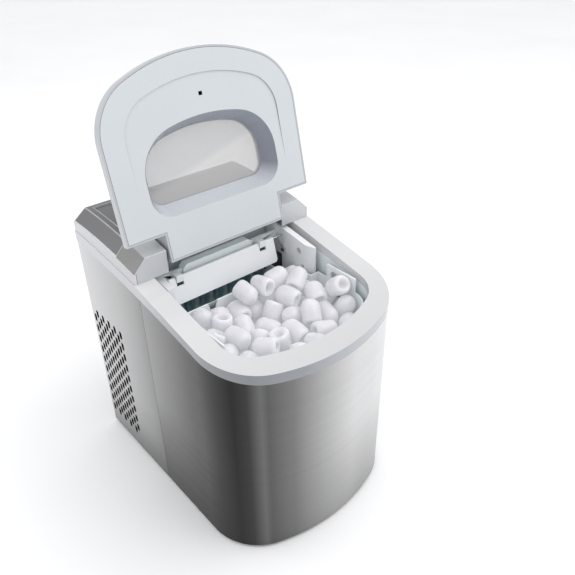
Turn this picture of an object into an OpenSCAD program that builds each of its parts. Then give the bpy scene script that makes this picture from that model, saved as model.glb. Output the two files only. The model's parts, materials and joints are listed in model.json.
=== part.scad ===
// Countertop ice maker, built as separate pieces.
// Millimetres. +Z up, front faces -Y. Origin: middle of the footprint, on the surface it stands on.

/* [Body] */
// Width of the body
body_w = 242; // [230:1:260]
// Depth of the body
body_d = 320; // [310:1:340]
// Radius of the two front corners
corner_r = 67.7; // [55:0.1:75]
// Radius of the bowed front
bow_r = 224; // [200:1:260]
// Height of the rubber feet
foot_h = 4; // [3:0.5:6]
// Height of the metal skin at the front
skin_front_z = 238.7; // [232:0.1:244]
// Height of the metal skin half way back
skin_mid_z = 272.2; // [268:0.1:276]
// Height of the metal skin at the rear
skin_rear_z = 288.5; // [284:0.1:292]
// Thickness of the metal skin
skin_t = 1; // [0.8:0.1:1.4]
// Where the front wrap meets the side panels
seam_y = 18.2; // [15:0.1:20]

/* [Rim] */
// Width of the rim's top face round the bin
rim_w = 24; // [20:1:26]
// Inner corner radius of the rim
rim_inner_r = 34.6; // [30:0.1:38]
// Height of the rim's top face at the front
rim_front_z = 251.5; // [248:0.1:253]
// Slope of the rim's top face, rising to the rear
rim_slope = 11.62; // [11:0.01:12]
// Height of the painted band round the shell's top edge
rim_band = 13.3; // [12:0.1:14]

/* [Rear deck] */
// Front face of the hinge posts
post_y = 24; // [22:0.5:25]
// Inner face of the hinge posts
post_x = 79; // [78.5:0.5:81]
// Deck height at the hinge posts
deck_front_z = 316.5; // [315:0.5:318]
// Deck height half way back
deck_mid_z = 325.5; // [324:0.5:327]
// Deck height at the rear
deck_rear_z = 327.5; // [326:0.5:329]
// Height of the bevel along the deck's sides
bevel_h = 14.2; // [12:0.1:15]
// Width of that bevel
bevel_w = 14.3; // [12:0.1:16]

/* [Lid] */
// Lean of the open lid, back from upright
lid_lean = 13.1; // [10:0.1:15]
// Thickness of the lid
lid_t = 24; // [22:0.5:25]
// Height of the lid's upright edge, below its bevel
lid_edge = 8; // [6:0.5:10]
// Length of the lid from the tongue's edge to its tip
lid_len = 205.4; // [200:0.1:210]
// Half width of the tongue between the hinge posts
tongue_x = 77; // [74:0.5:77.5]
// Length of the tongue
tongue_len = 31; // [29:0.5:32]
// Radius of the hinge pins
pin_r = 3; // [2.5:0.1:3.1]

/* [Vents] */
// Rows of vent slots in a side panel
vent_rows = 20; // [12:1:20]
// Slots in each row
vent_cols = 5; // [3:1:5]
// Distance between slots along a row
vent_pitch_y = 14.7; // [13:0.1:15]
// Distance between rows
vent_pitch_z = 8.36; // [8:0.01:8.4]

/* [Ice making] */
// Number of evaporator fingers
fingers = 7; // [5:1:7]
// Radius of a finger
finger_r = 6.5; // [5:0.1:6.5]
// Inner radius of the water tray
tray_r = 20; // [19:0.5:20.5]
// Height of the basket's rim
basket_z = 244; // [240:1:246]

/* [Hidden] */
$fn = 48;
eps = 0.01;
half_w = body_w / 2;
half_d = body_d / 2;
big = 900;

// Centre of the circle through three points
function circle_centre(a, b, c) =
    let (
        d = 2 * (a.x * (b.y - c.y) + b.x * (c.y - a.y) + c.x * (a.y - b.y)),
        qa = a * a,
        qb = b * b,
        qc = c * c
    )
    [
        (qa * (b.y - c.y) + qb * (c.y - a.y) + qc * (a.y - b.y)) / d,
        (qa * (c.x - b.x) + qb * (a.x - c.x) + qc * (b.x - a.x)) / d
    ];

// The skin's top edge and the deck's top are arcs seen from the side
skin_c = circle_centre([-half_d, skin_front_z], [0, skin_mid_z], [half_d, skin_rear_z]);
skin_r = norm([half_d, skin_rear_z] - skin_c);
deck_c = circle_centre(
    [post_y, deck_front_z],
    [(post_y + half_d) / 2, deck_mid_z],
    [half_d, deck_rear_z]
);
deck_r = norm([half_d, deck_rear_z] - deck_c);
function deck_z(y) = deck_c.y + sqrt(deck_r * deck_r - (y - deck_c.x) * (y - deck_c.x));
function deck_low_z(y) =
    deck_c.y + sqrt(pow(deck_r - bevel_h, 2) - (y - deck_c.x) * (y - deck_c.x));
function skin_z(y) = skin_c.y + sqrt(skin_r * skin_r - (y - skin_c.x) * (y - skin_c.x));
function rim_z(y) = rim_front_z + (y + half_d) * tan(rim_slope);

// Evenly spaced depths between two ends, for edges drawn in short straight lengths
arc_steps = 12;
function depths(a, b) = [for (i = [0 : arc_steps]) a + (b - a) * i / arc_steps];

// Skin and rim
skin_gap = 0.6;
bin_half_w = half_w - rim_w;
bin_front = half_d - rim_w;
bin_rear = 62;
bow_inner_r = bow_r - rim_w;
cover_y = 60.5;
crossbar_t = 4;
shoulder_in = 0.8;
post_out_x = 117.3;
ledge_x = 112;
ledge_y = 155;
wall = 2.5;
liner_floor = 118;

// Lid: its own frame has X across, Y up the lid from the tongue's edge, Z out of its inner face
tongue_y = 18.4;
tongue_z = 302.4;
hinge_s = 12.2;
hinge_depth = 17.3;
hinge_y = tongue_y + hinge_s * sin(lid_lean) + hinge_depth * cos(lid_lean);
hinge_z = tongue_z + hinge_s * cos(lid_lean) - hinge_depth * sin(lid_lean);
lid_corner_r = 62;
lid_bow_r = 205;
lid_skin = 2.2;
lid_bevel = lid_t - lid_edge;
well_depth = 20;
pane_t = 1.6;

// Ice making parts
evap_y = 40;
tray_z = 232;
tray_x0 = -81.4;
tray_x1 = 64;
tray_t = 1.5;
finger_tip_z = 216;
manifold_z = 264;
manifold_r = 6;
rod_y = 28.4;
rod_z = 275;
rod_r = 1.5;
shovel_tilt = 16;
shovel_len = 28.6;
shovel_x0 = -79.5;
shovel_x1 = 67;
clip_xs = [-67, 49];
clip_w = 8;

// Basket
basket_half_w = 92;
basket_front = 131;
basket_rear = 5;
basket_r = 31;
basket_bow_r = 195;
basket_floor = 168;
basket_t = 2;
basket_notch_x = 80;
basket_notch_y = -27;
handle_y = -66.5;
handle_z = 262;
ice_z = 226;

// Machine compartment
fan_y = 119;
fan_z = 110;
fan_r = 31;
shroud_x = -92;
shaft_r = 2.5;
run_gap = 0.05;
comp_x = 48;
comp_y = 110;

// Back panel: mains inlet, drain and screws
back_y = half_d - 1.4;
inlet_x = -30;
inlet_z = 45;
inlet_w = 31;
inlet_h = 24;
drain_x = -70;
drain_z = 32.5;
drain_r = 7;
screw_r = 1.5;
pump_x = -60;
pump_y = 40;
pump_top = 96;

// Controls on the deck
panel_w = 118;
panel_d = 40;
panel_t = 2.4;
panel_recess = 1.4;
panel_y = 92;
button_x = 27;
button_r = 9;

white = [0.91, 0.92, 0.93];
teal_white = [0.80, 0.87, 0.88];
silver = [0.72, 0.73, 0.74];
steel = [0.62, 0.62, 0.62];
dark = [0.15, 0.15, 0.16];
copper = [0.75, 0.45, 0.28];

// Outline with straight sides, two round corners and a bowed end at +Y; its base is at Y = base
module d_shape(hw, r, bow, tip, base) {
    cx = hw - r;
    bow_y = tip - bow;
    cy = bow_y + sqrt((bow - r) * (bow - r) - cx * cx);
    k = bow / (bow - r);
    tx = cx * k;
    ty = bow_y + (cy - bow_y) * k;
    polygon([[-hw, base], [hw, base], [hw, cy], [tx, ty], [-tx, ty], [-hw, cy]]);
    for (s = [-1, 1]) translate([s * cx, cy]) circle(r = r, $fn = 96);
    intersection() {
        translate([0, bow_y]) circle(r = bow, $fn = 180);
        translate([-tx, ty - eps]) square([2 * tx, bow]);
    }
}

// The body's outline in plan, drawn smaller by inset on every side
module body_outline(inset = 0, rear = half_d) {
    rotate(180)
        d_shape(half_w - inset, corner_r - inset, bow_r - inset, half_d - inset, -rear);
}

// The bin's outline in plan, drawn larger by grow
module bin_outline(grow = 0, rear = bin_rear) {
    rotate(180)
        d_shape(bin_half_w + grow, rim_inner_r + grow, bow_inner_r + grow, bin_front + grow, -rear - grow);
}

module basket_outline(inset = 0) {
    difference() {
        rotate(180)
            d_shape(
                basket_half_w - inset,
                basket_r - inset,
                basket_bow_r - inset,
                basket_front - inset,
                -basket_rear + inset
            );
        for (s = [-1, 1])
            translate([s > 0 ? basket_notch_x - inset : -big, basket_notch_y - inset])
                square([big - basket_notch_x + inset, big]);
    }
}

// A round bar across the machine whose side view is a circle of radius r
module cross_round(c, r) {
    translate([-big / 2, c.x, c.y]) rotate([0, 90, 0]) cylinder(r = r, h = big, $fn = 360);
}

module under_skin_edge(up = 0) { cross_round(skin_c, skin_r + up); }

module under_deck(down = 0) { cross_round(deck_c, deck_r - down); }

// Everything below the plane of the rim's top face, lowered by down
module under_rim_plane(down = 0) {
    translate([0, -half_d, rim_front_z - down])
        rotate([rim_slope, 0, 0])
        translate([-big / 2, -big / 2, -big])
        cube([big, big, big]);
}

// A stadium-shaped slot, longer along Y
module slot2d(w, l) {
    translate([-w / 2, -(l - w) / 2]) square([w, l - w]);
    for (s = [-1, 1]) translate([0, s * (l - w) / 2]) circle(d = w, $fn = 24);
}

// Moves to the lid's own frame at rest
module in_lid() {
    translate([0, tongue_y, tongue_z]) rotate([90 - lid_lean, 0, 0]) children();
}

// Moves to the deck's surface at a depth y, with Z along its normal
module on_deck(x, y) {
    translate([x, y, deck_z(y)]) rotate([asin((deck_c.x - y) / deck_r), 0, 0]) children();
}

module base_pan() {
    color(dark) difference() {
        translate([0, 0, foot_h]) linear_extrude(18) body_outline(skin_gap + skin_t + 0.2, half_d - 2);
        translate([0, 0, foot_h + 3])
            linear_extrude(18)
            body_outline(skin_gap + skin_t + 3, half_d - 5);
    }
}

module rubber_feet() {
    foot_r = 12;
    color(dark)
        for (p = [[-80, -112], [80, -112], [-95, 138], [95, 138]])
            translate([p.x, p.y, 0]) cylinder(r = foot_r, h = foot_h);
}

// A wall that follows the body's outline, up to the skin's top edge
module skin_wall() {
    intersection() {
        translate([0, 0, foot_h]) linear_extrude(big) difference() {
            body_outline(skin_gap);
            body_outline(skin_gap + skin_t, big);
        }
        under_skin_edge();
    }
}

module front_wrap() {
    color(steel) intersection() {
        skin_wall();
        translate([-big / 2, -big, 0]) cube([big, big + seam_y, big]);
    }
}

// The staggered field of vent slots, in the plane of a side panel
module vent_field() {
    slot_w = 5.8;
    slot_l = 11.4;
    first_y = 86.6;
    top_z = 190;
    for (row = [0 : vent_rows - 1], col = [0 : vent_cols - 1])
        translate([first_y + (col + (row % 2) / 2) * vent_pitch_y, top_z - row * vent_pitch_z])
            slot2d(slot_w, slot_l);
}

module side_panel(side) {
    x = half_w - skin_gap;
    color(steel) difference() {
        intersection() {
            translate([side > 0 ? x - skin_t : -x, seam_y + 0.4, foot_h])
                cube([skin_t, half_d - 1.4 - seam_y - 0.4, big]);
            under_skin_edge();
        }
        translate([side * x - 5, 0, 0])
            rotate([90, 0, 90])
            linear_extrude(10)
            vent_field();
    }
}

module side_panel_left() { side_panel(-1); }

module side_panel_right() { side_panel(1); }

// Places a child at each of the back panel's screws, with Z pointing into the machine
module at_panel_screws() {
    for (x = [-112, 112], z = [40, 150, 260])
        translate([x, half_d, z]) rotate([90, 0, 0]) children();
}

module back_panel() {
    back_w = body_w - 2 * skin_gap;
    grille_rows = 14;
    grille_cols = 6;
    color(steel) difference() {
        intersection() {
            translate([-back_w / 2, back_y, foot_h]) cube([back_w, skin_t, big]);
            under_skin_edge();
        }
        at_panel_screws() cylinder(r = screw_r + 0.1, h = 5);
        translate([inlet_x - inlet_w / 2, half_d - 5, inlet_z - inlet_h / 2])
            cube([inlet_w, 10, inlet_h]);
        translate([drain_x, half_d - 5, drain_z]) rotate([-90, 0, 0]) cylinder(r = drain_r + 2.3, h = 10);
        translate([0, half_d + 5, 0])
            rotate([90, 0, 0])
            linear_extrude(10)
            for (row = [0 : grille_rows - 1], col = [0 : grille_cols - 1])
                translate([(col - (grille_cols - 1) / 2) * 22, 90 + row * 9])
                    rotate(90)
                    slot2d(4.6, 17);
    }
}

// Extrudes a side view, drawn with Y across and Z up, right through the machine
module side_extrude() {
    translate([-big / 2, 0, 0]) rotate([90, 0, 90]) linear_extrude(big) children();
}

// Side view of the rim: flat under the lid, then an arc along the rear
module rim_side() {
    front = -half_d - 5;
    rear = half_d + 5;
    seam = 0.1;
    polygon(concat(
        [for (y = depths(front, rear)) [y, skin_z(y) + seam]],
        [for (y = depths(rear, post_y)) [y, skin_z(y) + rim_band]],
        [[post_y, rim_z(post_y)], [front, rim_z(front)]]
    ));
}

// Side view of the shoulder that the rear cover stands on
module shoulder_side() {
    polygon(concat(
        [for (y = depths(post_y, half_d)) [y, skin_z(y) + 2]],
        [for (y = depths(half_d, post_y)) [y, deck_low_z(y)]]
    ));
}

module top_rim() {
    seat_t = 5;
    seat_front = post_y - 1;
    seat_len = cover_y - seat_front;
    color(white) {
        difference() {
            intersection() {
                translate([0, 0, 200]) linear_extrude(200) body_outline();
                side_extrude() rim_side();
            }
            translate([0, 0, 100]) linear_extrude(400) bin_outline();
            translate([-ledge_x, bin_rear + crossbar_t, 100])
                cube([2 * ledge_x, ledge_y - bin_rear - crossbar_t, 400]);
        }
        difference() {
            intersection() {
                translate([0, 0, 200])
                    linear_extrude(200)
                    body_outline(shoulder_in, half_d - shoulder_in);
                side_extrude() shoulder_side();
            }
            translate([-post_out_x - 0.2, 0, 100]) cube([2 * post_out_x + 0.4, cover_y, 400]);
            translate([-ledge_x, cover_y - 1, 100])
                cube([2 * ledge_x, ledge_y - cover_y + 1, 400]);
        }
        // Crossbar behind the bin
        intersection() {
            translate([-ledge_x - 1, bin_rear, 200])
                cube([2 * ledge_x + 2, crossbar_t, 200]);
            side_extrude() shoulder_side();
        }
        // Seats of the hinge posts
        for (s = [-1, 1])
            translate([s > 0 ? bin_half_w : -post_out_x - 1, seat_front, 0])
                rotate([90, 0, 90])
                linear_extrude(post_out_x + 1 - bin_half_w)
                polygon([
                    [0, rim_z(seat_front) - seat_t],
                    [seat_len, rim_z(cover_y) - seat_t],
                    [seat_len, rim_z(cover_y)],
                    [0, rim_z(seat_front)]
                ]);
    }
}

// The deck's shape, bevelled along its sides, and depth deep below its top
module deck_solid(depth = bevel_h, inset = 0) {
    top_x = half_w - 1.2 - bevel_w;
    r = deck_r - inset;
    low = deck_r - depth;
    side = inset * 0.42;
    k = bevel_w / bevel_h;
    translate([0, deck_c.x, deck_c.y])
        rotate([0, 90, 0])
        rotate_extrude($fn = 360)
        polygon([
            [low, -top_x - bevel_w + side + (bevel_h - depth) * k],
            [r, -top_x + side],
            [r, top_x - side],
            [low, top_x + bevel_w - side - (bevel_h - depth) * k]
        ]);
}

module rear_bevel(inset = 0) {
    lean = 4;
    translate([-big / 2, half_d - shoulder_in - inset, deck_rear_z - bevel_h])
        rotate([atan(lean / bevel_h), 0, 0])
        translate([0, 0, -100])
        cube([big, 100, 200]);
}

module rear_cover() {
    shell = 3;
    border = 7;
    color(silver) difference() {
        intersection() {
            deck_solid();
            translate([-big / 2, cover_y, 200]) cube([big, half_d - cover_y - shoulder_in, 200]);
        }
        rear_bevel();
        // Hollow underside
        difference() {
            intersection() {
                deck_solid(bevel_h + 1, shell);
                translate([-big / 2, cover_y + shell, 200])
                    cube([big, half_d - cover_y - 2 * shell - 5, 200]);
            }
            // Floor under the control panel
            on_deck(0, panel_y)
                translate([-panel_w / 2 - 3, -panel_d / 2 - 3, -10])
                cube([panel_w + 6, panel_d + 6, 20]);
        }
        // Recessed top inside a raised border
        difference() {
            deck_solid(panel_recess, -5);
            translate([-big / 2, -big / 2, 0]) cube([big / 2 - 105 + border, big, big]);
            translate([105 - border, -big / 2, 0]) cube([big, big, big]);
            translate([-big / 2, -big + cover_y + border, 0]) cube([big, big, big]);
            translate([-big / 2, half_d - 5 - border, 0]) cube([big, big, big]);
        }
        // Pocket and wells of the control panel
        on_deck(0, panel_y) {
            translate([-panel_w / 2, -panel_d / 2, -panel_recess - panel_t])
                cube([panel_w, panel_d, 20]);
            for (s = [-1, 1])
                translate([s * button_x, 0, -20]) cylinder(r = button_r + 1, h = 30);
            for (i = [0 : 3])
                translate([(i - 1.5) * 22, 13, -20]) cylinder(r = 2.4, h = 30);
        }
    }
}

module control_panel() {
    color(dark) difference() {
        on_deck(0, panel_y)
            translate([-panel_w / 2, -panel_d / 2, -panel_recess - panel_t])
            cube([panel_w, panel_d, panel_t]);
        on_deck(0, panel_y) {
            for (s = [-1, 1])
                translate([s * button_x, 0, -20]) cylinder(r = button_r + 0.3, h = 30);
            for (i = [0 : 3])
                translate([(i - 1.5) * 22, 13, -20]) cylinder(r = 1.6, h = 30);
        }
    }
}

// A push button whose cap stands just proud of the control panel
module deck_button(x) {
    cap_top = 0.6;
    cap_h = 6;
    color(silver) on_deck(x, panel_y) {
        translate([0, 0, cap_top - cap_h]) cylinder(r = button_r, h = cap_h);
        translate([0, 0, cap_top - cap_h - 2]) cylinder(r = 3, h = 2.5);
    }
}

module power_button() { deck_button(-button_x); }

module size_button() { deck_button(button_x); }

module indicator_lenses() {
    color([0.3, 0.8, 0.4]) on_deck(0, panel_y)
        for (i = [0 : 3])
            translate([(i - 1.5) * 22, 13, -panel_recess - panel_t])
            cylinder(r = 1.58, h = panel_t + 0.4);
}

module hinge_post(side) {
    color(silver) difference() {
        union() {
            intersection() {
                deck_solid(bevel_h);
                translate([side > 0 ? post_x : -big, post_y, 200])
                    cube([big - post_x, cover_y - post_y - 0.1, 200]);
            }
            difference() {
                intersection() {
                    translate([side > 0 ? post_x : -post_out_x, post_y, 200])
                        cube([post_out_x - post_x, cover_y - post_y - 0.1, 200]);
                    under_deck(bevel_h - 1);
                }
                under_rim_plane();
            }
        }
        // Pin hole from the inner face
        translate([side > 0 ? post_x - 1 : -post_x - 19, hinge_y, hinge_z])
            rotate([0, 90, 0])
            cylinder(r = pin_r + 0.02, h = 20);
    }
}

module hinge_post_left() { hinge_post(-1); }

module hinge_post_right() { hinge_post(1); }

module hinge_pins() {
    color(steel)
        for (s = [-1, 1])
            translate([s > 0 ? 59 : -97.9, hinge_y, hinge_z])
                rotate([0, 90, 0])
                cylinder(r = pin_r, h = 38.9);
}

module bin_liner() {
    spout_r = 4;
    ledge_top = basket_floor - 0.3;
    color(teal_white) {
        difference() {
            intersection() {
                translate([0, 0, liner_floor]) linear_extrude(200) bin_outline(wall);
                side_extrude() polygon(concat(
                    [[half_d, 0], [-half_d, 0]],
                    [for (y = depths(-half_d - 5, half_d + 5)) [y, skin_z(y)]]
                ));
            }
            translate([0, 0, liner_floor + wall]) linear_extrude(200) bin_outline();
            // Water outlet in the floor
            translate([pump_x, pump_y, liner_floor - 1]) cylinder(r = spout_r, h = wall + 2);
        }
        // Ledges that the basket stands on
        for (s = [-1, 1])
            translate([s > 0 ? bin_half_w - 7 : -bin_half_w - 0.5, -100, ledge_top - 8])
                cube([7.5, 60, 8]);
    }
}

module insulation() {
    color([0.9, 0.88, 0.75]) difference() {
        intersection() {
            translate([0, 0, 104]) linear_extrude(big) body_outline(5, 72);
            under_skin_edge(-8);
        }
        translate([0, 0, liner_floor - 0.2]) linear_extrude(big) bin_outline(wall + 0.2);
        translate([pump_x, pump_y, 100]) cylinder(r = 6, h = 30);
    }
}

// Side view of a bracket: its top runs parallel to the rim, below it
module bracket_profile(front, drop) {
    foot_y = 4;
    foot_z = 205;
    rear = 59;
    polygon([
        [front, rim_z(front) - drop],
        [rear, rim_z(rear) - drop - 3],
        [rear, foot_z],
        [foot_y + 12, foot_z],
        [front, 236]
    ]);
}

// A plate beside the tray, with a flange that joins it to the bin's wall at the rear
module side_bracket(side) {
    x0 = 82;
    t = 8;
    flange_y = 46;
    full_t = bin_half_w - x0 - 0.2;
    front = side > 0 ? -25 : 12;
    drop = side > 0 ? 3 : 10;
    corner_w = 6;
    corner_l = 10;
    color(white) difference() {
        union() {
            translate([side > 0 ? x0 : -x0 - t, 0, 0])
                rotate([90, 0, 90])
                linear_extrude(t)
                bracket_profile(front, drop);
            translate([side > 0 ? x0 + 1 : -x0 - full_t, flange_y, 206])
                cube([full_t - 1, 12.5, 66]);
        }
        // The right one has its front corner cut slantwise
        if (side > 0)
            translate([x0, front, 200])
                linear_extrude(120)
                polygon([[-1, -1], [corner_w, -1], [corner_w, 0], [0, corner_l], [-1, corner_l]]);
        // Two screw wells in the inner face
        if (side > 0)
            for (h = [[-2.6, 265.6, 4], [-10, 247, 2.6]])
                translate([x0 - 1, h[0], h[1]]) rotate([0, 90, 0]) cylinder(r = h[2], h = 6);
        // Bearing of the tray's shaft and seat of the shovel's rod
        translate([side > 0 ? x0 - 1 : -x0 - 11, evap_y, tray_z])
            rotate([0, 90, 0])
            cylinder(r = shaft_r + 0.02, h = 12);
        translate([side > 0 ? x0 - 1 : -x0 - 5, rod_y, rod_z])
            rotate([0, 90, 0])
            cylinder(r = rod_r + 0.02, h = 6);
    }
}

module side_bracket_left() { side_bracket(-1); }

module side_bracket_right() { side_bracket(1); }

module bracket_screws() {
    color(steel)
        for (h = [[-2.6, 265.6, 3.2], [-10, 247, 2]])
            translate([85.5, h[0], h[1]]) rotate([0, 90, 0]) cylinder(r = h[2], h = 1.5);
}

module evaporator() {
    x0 = -70;
    pitch = 126 / (fingers - 1) * 0.97;
    color(silver) {
        translate([tray_x0 + 4, evap_y, manifold_z])
            rotate([0, 90, 0])
            cylinder(r = manifold_r, h = tray_x1 - tray_x0 - 8);
        for (i = [0 : fingers - 1])
            translate([x0 + i * pitch, evap_y, finger_tip_z]) {
                cylinder(r1 = finger_r - 2, r2 = finger_r, h = 4);
                translate([0, 0, 4]) cylinder(r = finger_r, h = manifold_z - finger_tip_z - 4);
            }
    }
}

module evaporator_cover() {
    x0 = -56;
    x1 = 40;
    y0 = 34;
    y1 = 44;
    z0 = 271;
    z1 = 284;
    cut = 5;
    color(teal_white) {
        translate([0, y1, 0])
            rotate([90, 0, 0])
            linear_extrude(y1 - y0)
            polygon([
                [x0, z0],
                [x1, z0],
                [x1, z1 - cut],
                [x1 - cut, z1],
                [x0 + cut, z1],
                [x0, z1 - cut]
            ]);
        // Clips that hold the shovel's rod
        for (x = clip_xs) difference() {
            translate([x - clip_w / 2, rod_y - 4, rod_z - 3.5]) cube([clip_w, 12, 8.5]);
            translate([x - clip_w, rod_y, rod_z])
                rotate([0, 90, 0])
                cylinder(r = rod_r + 0.02, h = 2 * clip_w);
        }
        // Rear bar that carries the clips and rests between the brackets
        translate([-81.9, rod_y + 8, z0]) cube([163.8, 4, 8]);
    }
}

module shovel_rod() {
    color(steel)
        translate([-86.9, rod_y, rod_z])
        rotate([0, 90, 0])
        cylinder(r = rod_r, h = 173.8);
}

// Hinged plate that pushes the finished ice over the basket's rear edge
module ice_shovel() {
    barrel_r = 2.4;
    plate_t = 2;
    rib_d = 3;
    plate_w = shovel_x1 - shovel_x0;
    tip_r = 4;
    color(white) difference() {
        translate([0, rod_y, rod_z]) rotate([-shovel_tilt, 0, 0]) {
            translate([shovel_x0, 0, 0]) rotate([0, 90, 0]) cylinder(r = barrel_r, h = plate_w);
            translate([shovel_x0, plate_t - barrel_r, -shovel_len])
                rotate([90, 0, 0])
                linear_extrude(plate_t)
                union() {
                    translate([0, tip_r]) square([plate_w, shovel_len - tip_r]);
                    translate([tip_r, 0]) square([plate_w - 2 * tip_r, shovel_len]);
                    for (x = [tip_r, plate_w - tip_r]) translate([x, tip_r]) circle(r = tip_r);
                }
            for (x = [shovel_x0, -30, 18, shovel_x1 - rib_d])
                translate([x, plate_t / 2 - barrel_r, -shovel_len + rib_d])
                    cube([rib_d, rib_d, shovel_len - 2 * rib_d]);
        }
        translate([shovel_x0 - 1, rod_y, rod_z])
            rotate([0, 90, 0])
            cylinder(r = rod_r + run_gap, h = plate_w + 2);
        for (x = clip_xs)
            translate([x - clip_w / 2 - 0.6, rod_y - 8, rod_z - 8]) cube([clip_w + 1.2, 20, 20]);
    }
}

// Half-round trough on two end discs; it swings about their middle
module water_tray() {
    len = tray_x1 - tray_x0;
    outer = tray_r + tray_t;
    disc_top = 8;
    color(teal_white)
        translate([tray_x0, evap_y, tray_z])
        rotate([0, 90, 0])
        difference() {
            cylinder(r = outer, h = len, $fn = 96);
            translate([0, 0, tray_t]) cylinder(r = tray_r, h = len - 2 * tray_t, $fn = 96);
            // The trough is open above the shaft, and its end discs rise a little higher
            translate([-2 * outer, -2 * outer, tray_t]) cube([2 * outer, 4 * outer, len - 2 * tray_t]);
            translate([-2 * outer - disc_top, -2 * outer, -1]) cube([2 * outer, 4 * outer, len + 2]);
            for (z = [-1, len - tray_t - 1])
                translate([0, 0, z]) cylinder(r = shaft_r + run_gap, h = tray_t + 2);
        }
}

module tray_motor() {
    color(dark) {
        translate([tray_x1 + 3, evap_y - 12, tray_z - 17]) cube([14.8, 24, 34]);
        translate([tray_x1 - tray_t - 0.5, evap_y, tray_z])
            rotate([0, 90, 0])
            cylinder(r = shaft_r, h = 8);
    }
}

module tray_pivot() {
    color(steel)
        translate([-92.9, evap_y, tray_z])
        rotate([0, 90, 0])
        cylinder(r = shaft_r, h = 13.3);
}

// Bent wire that feels how full the basket is
module ice_full_sensor() {
    wire_r = 0.9;
    pts = [[71, 24, 281], [76, 24, 269], [80.9, 24, 258]];
    color(steel) {
        for (i = [0 : len(pts) - 2]) {
            d = pts[i + 1] - pts[i];
            translate(pts[i])
                rotate([0, acos(d.z / norm(d)), atan2(d.y, d.x)])
                cylinder(r = wire_r, h = norm(d), $fn = 16);
            translate(pts[i]) sphere(r = wire_r, $fn = 16);
        }
        translate([78.9, 21, 255]) cube([3.1, 6, 4]);
    }
}

module water_pump() {
    color(dark) {
        translate([pump_x, pump_y, 40]) cylinder(r = 20, h = 44);
        translate([pump_x, pump_y, 83]) cylinder(r = 12, h = pump_top - 83);
        translate([pump_x - 22, pump_y - 22, foot_h + 3]) cube([44, 44, 6]);
        for (s = [-1, 1]) translate([pump_x + s * 16 - 2, pump_y - 6, foot_h + 3]) cube([4, 12, 40]);
    }
}

// A smooth tube through a short list of points
module tube(pts, r) {
    for (i = [0 : len(pts) - 2]) {
        d = pts[i + 1] - pts[i];
        translate(pts[i])
            rotate([0, acos(d.z / norm(d)), atan2(d.y, d.x)])
            cylinder(r = r, h = norm(d), $fn = 24);
        if (i > 0) translate(pts[i]) sphere(r = r * 1.04, $fn = 24);
    }
}

module water_hose() {
    color([0.85, 0.87, 0.85])
        tube([[pump_x, pump_y, pump_top], [pump_x, pump_y, liner_floor - 0.1]], 3.6);
}

module compressor() {
    can_r = 40;
    dome = 22;
    color(dark) {
        translate([comp_x, comp_y, 0])
            rotate_extrude($fn = 96)
            union() {
                translate([0, 32]) square([can_r, 66]);
                intersection() {
                    translate([0, 98 + dome - 47.4]) circle(r = 47.4, $fn = 96);
                    translate([0, 97.9]) square([can_r, 40]);
                }
                translate([0, 62]) square([can_r + 2, 4]);
            }
        difference() {
            translate([comp_x - 46, comp_y - 42, 28]) cube([92, 84, 4.1]);
            for (sx = [-1, 1], sy = [-1, 1])
                translate([comp_x + sx * 39, comp_y + sy * 35, 20]) cylinder(r = 5, h = 20);
        }
        translate([comp_x + can_r - 4, comp_y - 10, 70]) cube([10, 20, 18]);
    }
}

module compressor_mounts() {
    color(dark)
        for (sx = [-1, 1], sy = [-1, 1])
            translate([comp_x + sx * 39, comp_y + sy * 35, foot_h + 3]) {
                cylinder(r = 9, h = 20.9);
                cylinder(r = 4.9, h = 29);
            }
}

module refrigerant_pipes() {
    color(copper) {
        tube([[comp_x - 20, comp_y + 20, 109.5], [comp_x - 20, comp_y + 20, 210], [-60, 132, 210], [-106, 132, 196]], 3);
        tube([[comp_x + 8, comp_y - 22, 112.5], [comp_x + 8, 78, 160], [comp_x + 8, 78, 276]], 3);
    }
}

module condenser() {
    x0 = -117;
    x1 = -95;
    fins = 19;
    tubes = 5;
    color(silver) {
        for (i = [0 : fins - 1]) translate([x0, 84, 32 + i * 8.6]) cube([x1 - x0, 70, 0.8]);
        for (k = [0 : tubes - 1])
            translate([(x0 + x1) / 2, 90 + k * 14.5, 26]) cylinder(r = 3, h = 168);
        translate([x0, 84, 22]) cube([x1 - x0, 70, 5]);
        translate([x0, 84, 191]) cube([x1 - x0, 70, 2]);
    }
}

module fan_shroud() {
    w = 72;
    arm_x = shroud_x + 13;
    color(dark) {
        difference() {
            union() {
                translate([shroud_x, fan_y - w / 2, 24]) cube([3, w, 168]);
                translate([shroud_x + 1, fan_y, fan_z])
                    rotate([0, 90, 0])
                    cylinder(r = fan_r + 4, h = 15.5, $fn = 72);
            }
            translate([shroud_x - 10, fan_y, fan_z])
                rotate([0, 90, 0])
                cylinder(r = fan_r + 2, h = 40, $fn = 72);
        }
        // Disc and arms that hold the motor
        difference() {
            union() {
                translate([arm_x, fan_y, fan_z]) rotate([0, 90, 0]) cylinder(r = 16, h = 2);
                for (a = [45 : 90 : 315])
                    translate([arm_x + 0.3, fan_y, fan_z])
                        rotate([a, 0, 0])
                        translate([0, -2, 14])
                        cube([1.4, 4, fan_r - 11]);
            }
            translate([arm_x - 1, fan_y, fan_z])
                rotate([0, 90, 0])
                cylinder(r = shaft_r + 1, h = 4);
        }
    }
}

module fan_motor() {
    color(steel) {
        translate([shroud_x + 15, fan_y, fan_z]) rotate([0, 90, 0]) cylinder(r = 15, h = 24);
        translate([shroud_x + 3.2, fan_y, fan_z]) rotate([0, 90, 0]) cylinder(r = shaft_r, h = 13);
    }
}

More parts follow.
